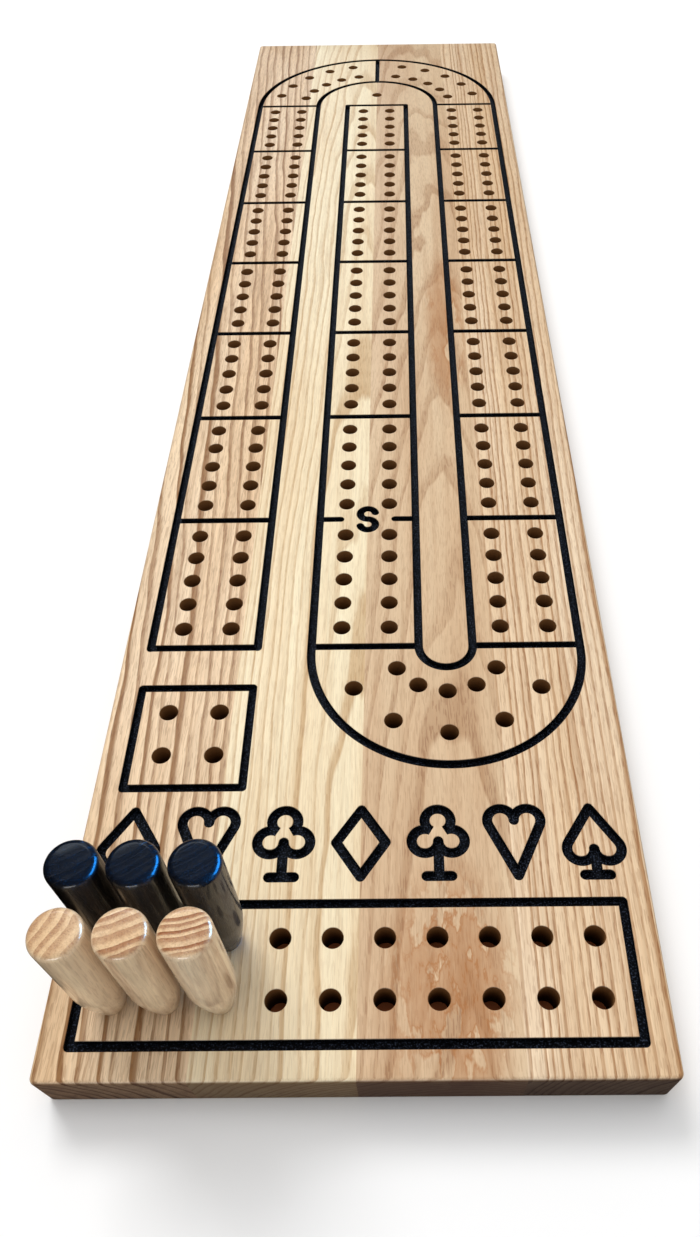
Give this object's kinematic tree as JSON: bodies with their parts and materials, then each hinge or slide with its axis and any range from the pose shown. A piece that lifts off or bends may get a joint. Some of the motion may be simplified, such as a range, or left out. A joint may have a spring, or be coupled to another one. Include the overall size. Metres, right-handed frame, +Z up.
{
  "type": "cribbage board",
  "caption": "Long flat ash cribbage board glued up from staves, with black engraved lanes around paired peg holes, a row of card-suit ornaments, and thick lift-out pegs standing at one end.",
  "frame": {"origin": "centre of the board's underside, on the surface that it lies on", "axes": "+Y along the board from the end with the game-count holes and pegs to the end with the wide bend, +X to the right seen from the peg end, +Z up"},
  "size_m": [0.25, 1.041, 0.099],
  "materials": {
    "ash_brown_grain": "clear satin lacquer over tan ash with brown grain lines",
    "ash_pale": "clear satin lacquer over pale yellow ash with fine lines",
    "ash_rose": "clear satin lacquer over flat-sawn pinkish tan ash",
    "ash_striped": "clear satin lacquer over ash with marked straight lines",
    "groove_paint": "black paint in the engraved grooves, slightly textured",
    "peg_black_stain": "gloss clear coat over black-stained ash",
    "peg_clear_ash": "gloss clear coat over natural ash"
  },
  "bodies": {
    "board": {"stave_left_outer": "ash_brown_grain", "stave_left_inner": "ash_pale", "stave_right_inner": "ash_rose", "stave_right_outer": "ash_striped"},
    "peg_black_1": {"peg_black_1": "peg_black_stain"},
    "peg_black_2": {"peg_black_2": "peg_black_stain"},
    "peg_black_3": {"peg_black_3": "peg_black_stain"},
    "peg_natural_1": {"peg_natural_1": "peg_clear_ash"},
    "peg_natural_2": {"peg_natural_2": "peg_clear_ash"},
    "peg_natural_3": {"peg_natural_3": "peg_clear_ash"}
  },
  "joints": [
    {"name": "peg_black_1_lift", "type": "slide", "parent": "board", "child": "peg_black_1", "axis": [0, 0, 1], "range_m": [0, 0.025]},
    {"name": "peg_black_2_lift", "type": "slide", "parent": "board", "child": "peg_black_2", "axis": [0, 0, 1], "range_m": [0, 0.025]},
    {"name": "peg_black_3_lift", "type": "slide", "parent": "board", "child": "peg_black_3", "axis": [0, 0, 1], "range_m": [0, 0.025]},
    {"name": "peg_natural_1_lift", "type": "slide", "parent": "board", "child": "peg_natural_1", "axis": [0, 0, 1], "range_m": [0, 0.025]},
    {"name": "peg_natural_2_lift", "type": "slide", "parent": "board", "child": "peg_natural_2", "axis": [0, 0, 1], "range_m": [0, 0.025]},
    {"name": "peg_natural_3_lift", "type": "slide", "parent": "board", "child": "peg_natural_3", "axis": [0, 0, 1], "range_m": [0, 0.025]}
  ]
}
